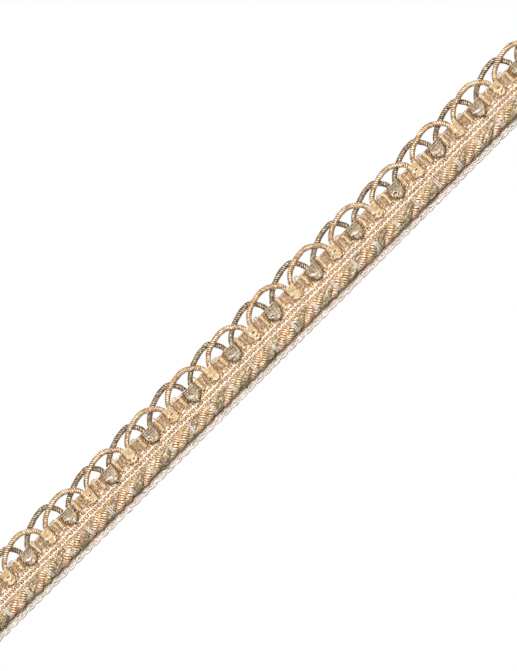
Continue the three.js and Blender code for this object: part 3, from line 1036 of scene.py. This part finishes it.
def knot_painted_shade(name, places, material, slot, half_width, bottom, top=4.4):
    """A dark bundle of painted shade under a knot's wraps, which shows between them."""
    lines = []
    for x in places:
        for side in (-1, -0.33, 0.33, 1):
            along = side * (half_width - SHADE_BUNDLE_RADIUS)
            lines.append(laid(x, (along, bottom, SHADE_BUNDLE_TOP - 0.75),
                              (along, (bottom + top) / 2, SHADE_BUNDLE_TOP - 0.5),
                              (along, top, SHADE_BUNDLE_TOP - 0.6)))
    return dress(yarn(name, lines, SHADE_BUNDLE_RADIUS * MM, steps=3), material, slot)


chance = random.Random(11)
for knot in range(1, REPEATS):
    gold_knot(knot, chance)
gold_knot_glints(chance)
# the inner arcs are painted shade round each knot's lower end
gold_knot_arcs("gold_knot_inner_arcs", GOLD_PAINTED_SHADE, spread=0, level=1.9, chance=chance)
gold_knot_arcs("gold_knot_outer_arcs", BROWN_RIB, spread=0.42, level=1.75, chance=chance)
for knot in range(REPEATS):
    taupe_knot(knot, chance)
taupe_knot_loops(chance)
taupe_knot_lobes(chance)
knot_painted_shade("gold_knot_painted_shade", [gold_knot_x(knot) for knot in range(1, REPEATS)],
            GOLD_PAINTED_SHADE, "gold", half_width=1.45, bottom=1.0)
knot_painted_shade("taupe_knot_painted_shade", [taupe_knot_x(knot) for knot in range(REPEATS)],
            TAUPE_PAINTED_SHADE, "taupe", half_width=2.3, bottom=0.3)


# Lip: a cream tape under the rope and rows of looped yarn along its edge
LIP_YARN_RADIUS = 0.34 * MM


def lip_tape():
    piece = cloth_strip("lip_tape", lip_low.y + 0.75 * MM, lip_high.y, level=0.75 * MM, rows=10,
                        thickness=0.6 * MM, spread=1.2 * MM, amount=0.15 * MM)
    return dress(piece, LIP_CLOTH, "lip", "lip_edging")


def wave_line(wave, steps_per_loop):
    """A yarn's line along the strip. The wave gives y from the lip's edge and z, in mm."""
    line = []
    steps = REPEATS * LOOPS_PER_REPEAT * steps_per_loop
    for step in range(steps + 1):
        y, z = wave(step / steps_per_loop)
        line.append((-CUT + 2 * CUT * step / steps, lip_low.y + y * MM, z * MM))
    return line


def edge_dip(loops):
    """How far the wavy edge stands out: 1 in the middle of a loop and 0 at its cusps."""
    return abs(math.sin(math.pi * loops)) ** 0.7


def edge_wave(loops):
    """The yarn along the wavy edge: a shallow arc in each loop, with a cusp between loops."""
    dip = edge_dip(loops)
    return 0.95 - 0.45 * dip, 0.8 + 0.2 * (1 - dip)


def under_wave(loops):
    """The greyer yarn that shows just past the edge yarn's arcs, its grey painted shadow under the edge
    yarn.
    """
    return 0.62 - 0.42 * edge_dip(loops), 0.3


def chain_wave(side):
    """One of the two yarns that cross over and under each other as a chain."""
    def wave(loops):
        swing = math.sin(4 * math.pi * loops + side * math.pi / 2)
        lift = math.cos(4 * math.pi * loops)
        return 1.5 + 0.24 * side * swing, 1.0 + 0.12 * side * lift

    return wave


def top_wave(loops):
    """The yarn beside the rope."""
    return 2.18 + 0.12 * math.sin(2 * math.pi * loops), 1.3 + 0.12 * math.cos(4 * math.pi * loops)


def lip_yarns():
    rows = [
        (yarn("lip_edge_yarn", [wave_line(edge_wave, 6)], radius=0.33 * MM, steps=2), CREAM_YARN),
        (yarn("lip_under_yarn", [wave_line(under_wave, 6)], radius=0.16 * MM, steps=2), PAINTED_SHADOW_YARN),
        (yarn("lip_chain_yarn", [wave_line(chain_wave(side), 16) for side in (-1, 1)],
              LIP_YARN_RADIUS, steps=1), CREAM_YARN),
        (yarn("lip_top_yarn", [wave_line(top_wave, 8)], LIP_YARN_RADIUS, steps=1), CREAM_YARN),
    ]
    for row, material in rows:
        unsettle(row, spread=1.6 * MM, amount=0.35 * MM)
        cut_flush(row)
        face_outwards(row)
        dress(row, material, "lip")


def rope_seam():
    """The brown thread that lies in the corner between the rope and the lip. Its dark brown is partly its
    own colour and partly painted shade for the shadow line under the rope.
    """
    piece = long_thread("rope_seam_thread", y=ROPE_Y - ROPE_RADIUS - 0.1 * MM, level=1.8 * MM,
                        step=0.8 * MM, radius=0.24 * MM, stray=0.3 * MM)
    return dress(piece, SEAM_THREAD_AND_PAINTED_SHADE, "thread")


lip_tape()
lip_yarns()
rope_seam()


# Pale loops of thread that stand out of the heading's top edge
FUZZ_RADIUS = 0.1 * MM
LOOPS_PER_TUFT = 4


def edge_fuzz(chance):
    """Two tufts in each repeat, one at the right of each kind of knot."""
    lines = []
    foot = HEADING_TOP - 0.5
    for knot in range(REPEATS):
        for x, reach in ((gold_knot_x(knot) + 3.6 * MM, 1.0), (taupe_knot_x(knot) + 3.3 * MM, 1.5)):
            for _ in range(LOOPS_PER_TUFT):
                left = chance.uniform(-1.0, -0.2)
                right = chance.uniform(0.4, 1.3)
                peak = HEADING_TOP + chance.uniform(0.3, 1.0) * reach
                level = chance.uniform(0.9, 1.7)
                middle = (HEADING_TOP + peak) / 2
                lines.append(laid(x, (left, foot, level), (left + 0.1, middle, level),
                                  ((left + right) / 2, peak, level + 0.2), (right, middle, level),
                                  (right, foot, level)))
    return dress(yarn("edge_fuzz", lines, FUZZ_RADIUS, steps=4, roundness=0), FUZZ, "woven")


edge_fuzz(random.Random(5))


# Floor, lights and background
FLOOR_SIZE = 8
PAPER_GREY = (0.3, 0.3, 0.3, 1)
WHITE = (1, 1, 1, 1)
STUDIO_GLOW = 0.07


def add_floor():
    """White paper that shows as plain white and throws little light back at the trim."""
    bpy.ops.object.select_all(action="DESELECT")
    bpy.ops.mesh.primitive_plane_add(size=FLOOR_SIZE, location=(0, 0, 0))
    floor = bpy.context.object
    floor.name = "floor"
    paper = bpy.data.materials.new("white paper")
    paper.use_nodes = True
    tree = paper.node_tree
    surface = tree.nodes["Principled BSDF"]
    surface.inputs["Base Color"].default_value = PAPER_GREY
    surface.inputs["Roughness"].default_value = 0.9
    seen = tree.nodes.new("ShaderNodeLightPath")
    glow = add_node(tree, "ShaderNodeEmission", Strength=1.0)
    mix = tree.nodes.new("ShaderNodeMixShader")
    tree.links.new(seen.outputs["Is Camera Ray"], mix.inputs["Fac"])
    tree.links.new(surface.outputs["BSDF"], mix.inputs[1])
    tree.links.new(glow.outputs["Emission"], mix.inputs[2])
    tree.links.new(mix.outputs["Shader"], tree.nodes["Material Output"].inputs["Surface"])
    floor.data.materials.append(paper)


def add_light(name, place, size, power):
    """A soft square light that faces the trim."""
    data = bpy.data.lights.new(name, "AREA")
    data.shape = "SQUARE"
    data.size = size
    data.energy = power
    light = bpy.data.objects.new(name, data)
    bpy.context.scene.collection.objects.link(light)
    light.location = place
    light.rotation_euler = (-Vector(place)).to_track_quat("-Z", "Y").to_euler()


add_floor()
# two lights from the scallops' side of the strip, and a weak one from the lip's side
add_light("key", (0.08, 0.3, 1.2), size=0.3, power=19)
add_light("low side", (0.1, 0.82, 0.92), size=0.35, power=8)
add_light("fill", (-0.1, -0.52, 1.14), size=0.4, power=4)
world = bpy.data.worlds.new("studio")
world.use_nodes = True
world.node_tree.nodes["Background"].inputs["Color"].default_value = WHITE
world.node_tree.nodes["Background"].inputs["Strength"].default_value = STUDIO_GLOW
bpy.context.scene.world = world
bpy.context.scene.view_settings.view_transform = "Standard"
